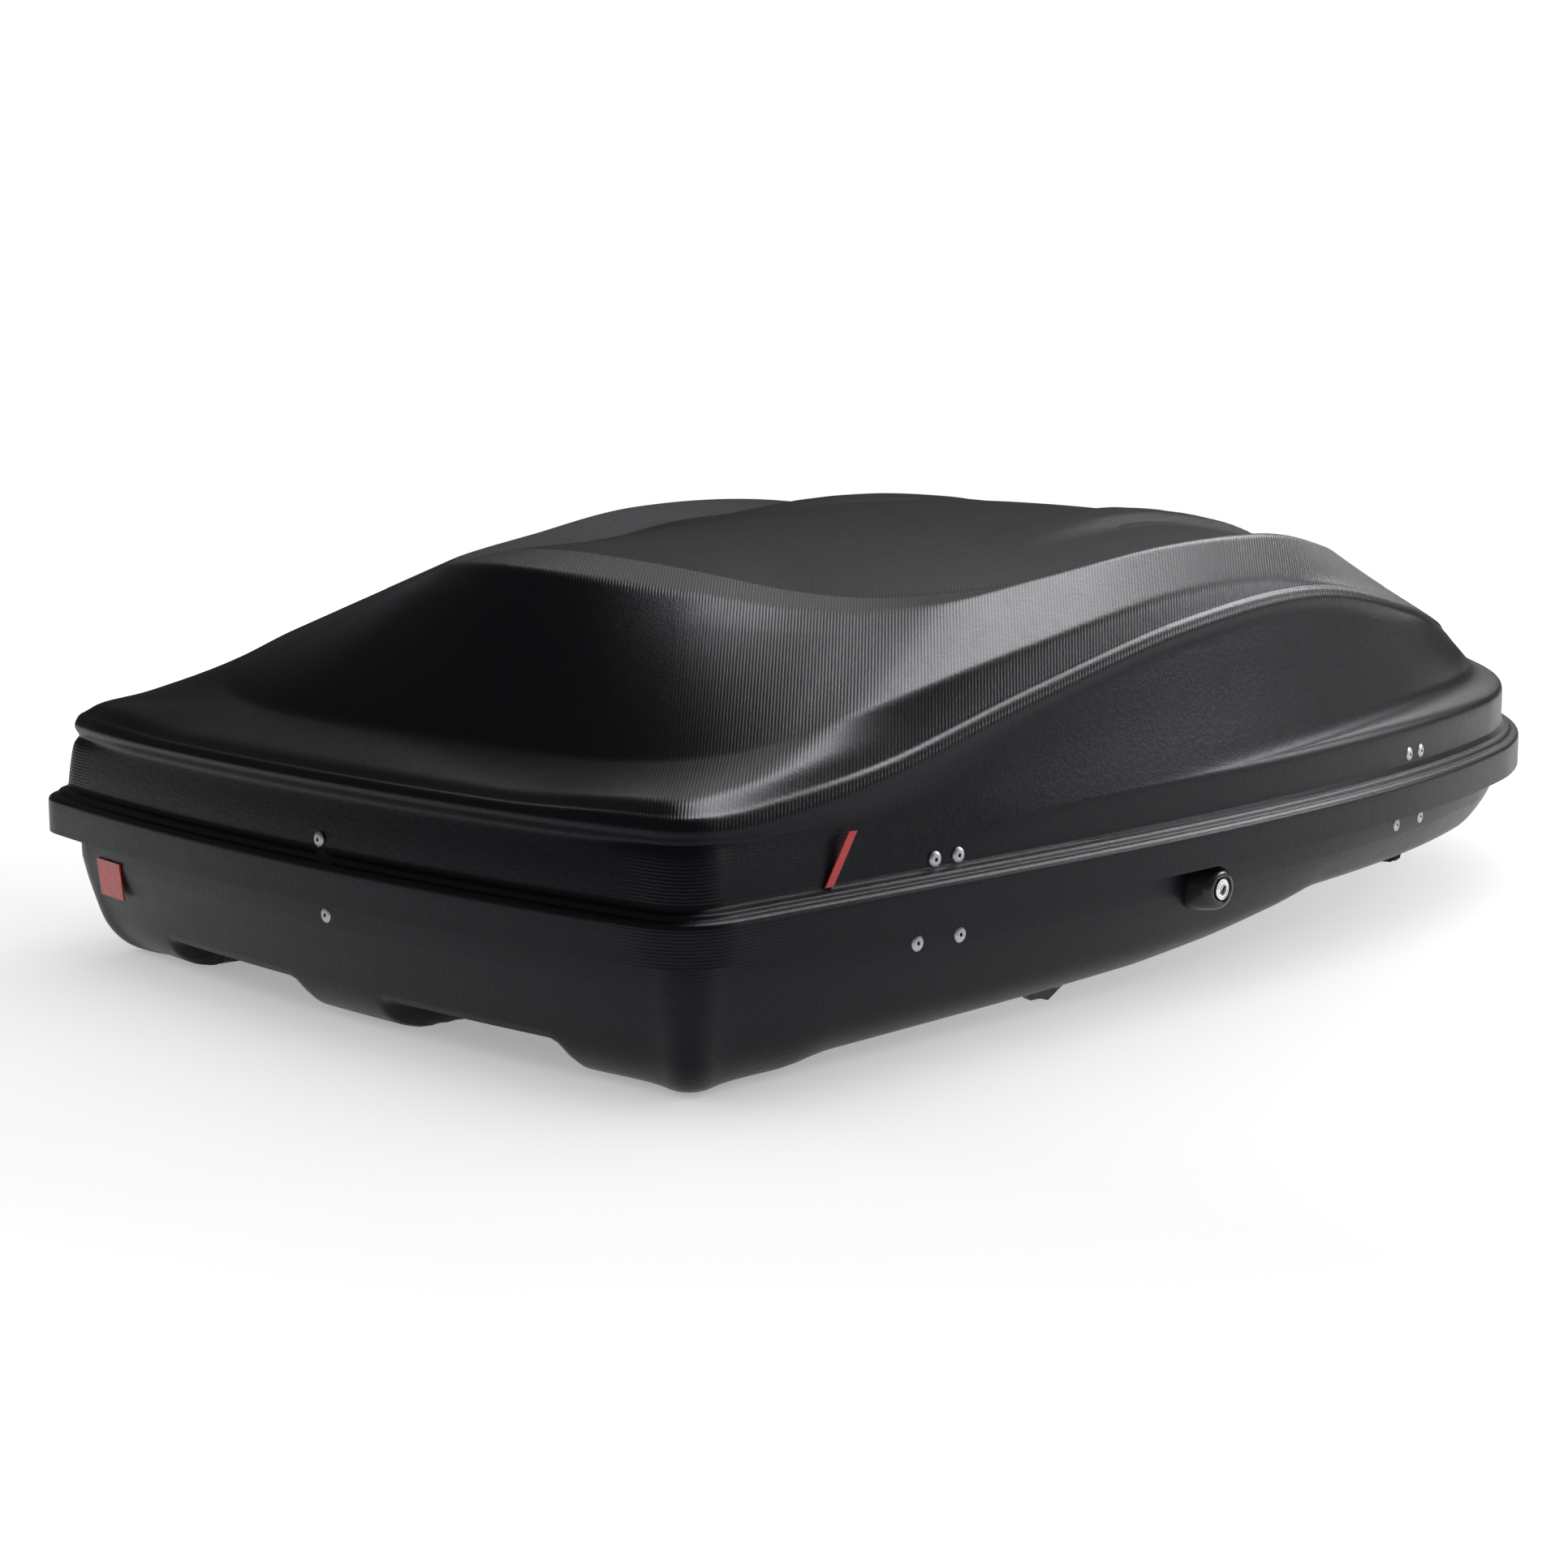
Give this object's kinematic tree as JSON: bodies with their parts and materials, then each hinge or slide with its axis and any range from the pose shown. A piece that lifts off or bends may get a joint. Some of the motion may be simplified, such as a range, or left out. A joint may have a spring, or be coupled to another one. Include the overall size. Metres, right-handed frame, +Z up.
{
  "type": "roof cargo box",
  "caption": "Car roof cargo box: thermoformed base and side-opening lid with a lock bar, hinges, telescopic stays and U-bolt crossbar clamps.",
  "frame": {"origin": "under the middle of the box, on the surface that its underside stands on", "axes": "+X towards the front of the box, +Y towards its left side with the hinges, +Z up"},
  "size_m": [1.44, 0.86, 0.3748],
  "materials": {
    "lid_plastic": "black, fine grain, semi-gloss",
    "base_plastic": "black, glossy",
    "knob_plastic": "black, satin",
    "rivet_aluminium": "bright",
    "red_trim": "red, glossy",
    "lock_plastic": "black, glossy",
    "lock_metal": "polished",
    "stay_paint": "black, glossy",
    "zinc_steel": "zinc plated"
  },
  "bodies": {
    "base": {"base_shell": "base_plastic", "lock_housing": "lock_plastic", "rear_reflector": "red_trim", "rear_socket": "zinc_steel", "clamp_plate_front_left": "zinc_steel", "clamp_plate_front_right": "zinc_steel", "clamp_plate_rear_left": "zinc_steel", "clamp_plate_rear_right": "zinc_steel", "hinge_base_leaf_front": "zinc_steel", "hinge_base_leaf_rear": "zinc_steel", "hinge_pin_front": "zinc_steel", "hinge_pin_rear": "zinc_steel", "latch_guide_front": "zinc_steel", "latch_guide_rear": "zinc_steel", "rivet_base_front_latch_a": "rivet_aluminium", "rivet_base_front_latch_b": "rivet_aluminium", "rivet_base_rear": "rivet_aluminium", "rivet_base_rear_latch_a": "rivet_aluminium", "rivet_base_rear_latch_b": "rivet_aluminium", "stay_base_bracket_front": "zinc_steel", "stay_base_bracket_rear": "zinc_steel"},
    "lid": {"lid_shell": "lid_plastic", "rear_tongue": "zinc_steel", "hinge_lid_leaf_front": "zinc_steel", "hinge_lid_leaf_rear": "zinc_steel", "rivet_lid_front_latch_a": "rivet_aluminium", "rivet_lid_front_latch_b": "rivet_aluminium", "rivet_lid_rear": "rivet_aluminium", "rivet_lid_rear_latch_a": "rivet_aluminium", "rivet_lid_rear_latch_b": "rivet_aluminium", "side_mark_left": "red_trim", "side_mark_right": "red_trim", "stay_lid_bracket_front": "zinc_steel", "stay_lid_bracket_rear": "zinc_steel", "striker_front": "zinc_steel", "striker_rear": "zinc_steel"},
    "lock_core": {"lock_cylinder": "lock_metal", "lock_cam": "zinc_steel"},
    "lock_slider": {"lock_bar": "zinc_steel", "latch_hook_rear": "zinc_steel", "latch_hook_front": "zinc_steel"},
    "stay_tube_rear_b": {"stay_tube_rear": "stay_paint"},
    "stay_rod_rear_b": {"stay_rod_rear": "zinc_steel"},
    "stay_tube_front_b": {"stay_tube_front": "stay_paint"},
    "stay_rod_front_b": {"stay_rod_front": "zinc_steel"},
    "ubolt_rear_right_b": {"ubolt_rear_right": "zinc_steel"},
    "knob_rear_right_a_b": {"knob_rear_right_a": "knob_plastic"},
    "knob_rear_right_b_b": {"knob_rear_right_b": "knob_plastic"},
    "ubolt_rear_left_b": {"ubolt_rear_left": "zinc_steel"},
    "knob_rear_left_a_b": {"knob_rear_left_a": "knob_plastic"},
    "knob_rear_left_b_b": {"knob_rear_left_b": "knob_plastic"},
    "ubolt_front_right_b": {"ubolt_front_right": "zinc_steel"},
    "knob_front_right_a_b": {"knob_front_right_a": "knob_plastic"},
    "knob_front_right_b_b": {"knob_front_right_b": "knob_plastic"},
    "ubolt_front_left_b": {"ubolt_front_left": "zinc_steel"},
    "knob_front_left_a_b": {"knob_front_left_a": "knob_plastic"},
    "knob_front_left_b_b": {"knob_front_left_b": "knob_plastic"}
  },
  "joints": [
    {"name": "lid_hinge", "type": "hinge", "parent": "base", "child": "lid", "pos_m": [-0.18, 0.403, 0.129], "axis": [-0.9985, 0.0551, 0], "range_deg": [0, 45]},
    {"name": "lock_turn", "type": "hinge", "parent": "base", "child": "lock_core", "pos_m": [-0.101, -0.3555, 0.086], "axis": [-0.0872, 0.9962, 0], "range_deg": [0, 90]},
    {"name": "lock_bar_slide", "type": "slide", "parent": "base", "child": "lock_slider", "axis": [0.9962, 0.0872, 0], "range_m": [0, 0.02]},
    {"name": "stay_tilt_rear", "type": "hinge", "parent": "base", "child": "stay_tube_rear_b", "pos_m": [-0.52729, 0.3711, 0.076], "axis": [-0.9985, 0.0551, 0], "range_deg": [-1, 27]},
    {"name": "stay_stroke_rear", "type": "slide", "parent": "stay_tube_rear_b", "child": "stay_rod_rear_b", "axis": [-0.0014, -0.0247, 0.9997], "range_m": [0, 0.0315]},
    {"name": "stay_tilt_front", "type": "hinge", "parent": "base", "child": "stay_tube_front_b", "pos_m": [0.01189, 0.34133, 0.076], "axis": [-0.9985, 0.0551, 0], "range_deg": [-1, 27]},
    {"name": "stay_stroke_front", "type": "slide", "parent": "stay_tube_front_b", "child": "stay_rod_front_b", "axis": [-0.0014, -0.0247, 0.9997], "range_m": [0, 0.0315]},
    {"name": "knob_turn_rear_right_a", "type": "hinge", "parent": "base", "child": "knob_rear_right_a_b", "pos_m": [-0.442, -0.16, 0.0456], "axis": [0, 0, 1], "range_deg": [0, 8640]},
    {"name": "knob_turn_rear_right_b", "type": "hinge", "parent": "base", "child": "knob_rear_right_b_b", "pos_m": [-0.358, -0.16, 0.0456], "axis": [0, 0, 1], "range_deg": [0, 8640]},
    {"name": "ubolt_slide_rear_right", "type": "slide", "parent": "base", "child": "ubolt_rear_right_b", "axis": [0, 0, -1], "range_m": [0, 0.03]},
    {"name": "knob_turn_rear_left_a", "type": "hinge", "parent": "base", "child": "knob_rear_left_a_b", "pos_m": [-0.442, 0.16, 0.0456], "axis": [0, 0, 1], "range_deg": [0, 8640]},
    {"name": "knob_turn_rear_left_b", "type": "hinge", "parent": "base", "child": "knob_rear_left_b_b", "pos_m": [-0.358, 0.16, 0.0456], "axis": [0, 0, 1], "range_deg": [0, 8640]},
    {"name": "ubolt_slide_rear_left", "type": "slide", "parent": "base", "child": "ubolt_rear_left_b", "axis": [0, 0, -1], "range_m": [0, 0.03]},
    {"name": "knob_turn_front_right_a", "type": "hinge", "parent": "base", "child": "knob_front_right_a_b", "pos_m": [0.158, -0.16, 0.0616], "axis": [0, 0, 1], "range_deg": [0, 8640]},
    {"name": "knob_turn_front_right_b", "type": "hinge", "parent": "base", "child": "knob_front_right_b_b", "pos_m": [0.242, -0.16, 0.0616], "axis": [0, 0, 1], "range_deg": [0, 8640]},
    {"name": "ubolt_slide_front_right", "type": "slide", "parent": "base", "child": "ubolt_front_right_b", "axis": [0, 0, -1], "range_m": [0, 0.03]},
    {"name": "knob_turn_front_left_a", "type": "hinge", "parent": "base", "child": "knob_front_left_a_b", "pos_m": [0.158, 0.16, 0.0616], "axis": [0, 0, 1], "range_deg": [0, 8640]},
    {"name": "knob_turn_front_left_b", "type": "hinge", "parent": "base", "child": "knob_front_left_b_b", "pos_m": [0.242, 0.16, 0.0616], "axis": [0, 0, 1], "range_deg": [0, 8640]},
    {"name": "ubolt_slide_front_left", "type": "slide", "parent": "base", "child": "ubolt_front_left_b", "axis": [0, 0, -1], "range_m": [0, 0.03]}
  ],
  "couplings": [
    {"joint": "lock_turn", "follows": "lock_bar_slide", "rad_per_m": 78.54},
    {"joint": "stay_tilt_rear", "follows": "lid_hinge", "ratio": 0.559},
    {"joint": "stay_stroke_rear", "follows": "lid_hinge", "m_per_rad": 0.0394},
    {"joint": "stay_tilt_front", "follows": "lid_hinge", "ratio": 0.559},
    {"joint": "stay_stroke_front", "follows": "lid_hinge", "m_per_rad": 0.0394},
    {"joint": "knob_turn_rear_right_a", "follows": "ubolt_slide_rear_right", "rad_per_m": 5026.5},
    {"joint": "knob_turn_rear_right_b", "follows": "ubolt_slide_rear_right", "rad_per_m": 5026.5},
    {"joint": "knob_turn_rear_left_a", "follows": "ubolt_slide_rear_left", "rad_per_m": 5026.5},
    {"joint": "knob_turn_rear_left_b", "follows": "ubolt_slide_rear_left", "rad_per_m": 5026.5},
    {"joint": "knob_turn_front_right_a", "follows": "ubolt_slide_front_right", "rad_per_m": 5026.5},
    {"joint": "knob_turn_front_right_b", "follows": "ubolt_slide_front_right", "rad_per_m": 5026.5},
    {"joint": "knob_turn_front_left_a", "follows": "ubolt_slide_front_left", "rad_per_m": 5026.5},
    {"joint": "knob_turn_front_left_b", "follows": "ubolt_slide_front_left", "rad_per_m": 5026.5}
  ]
}
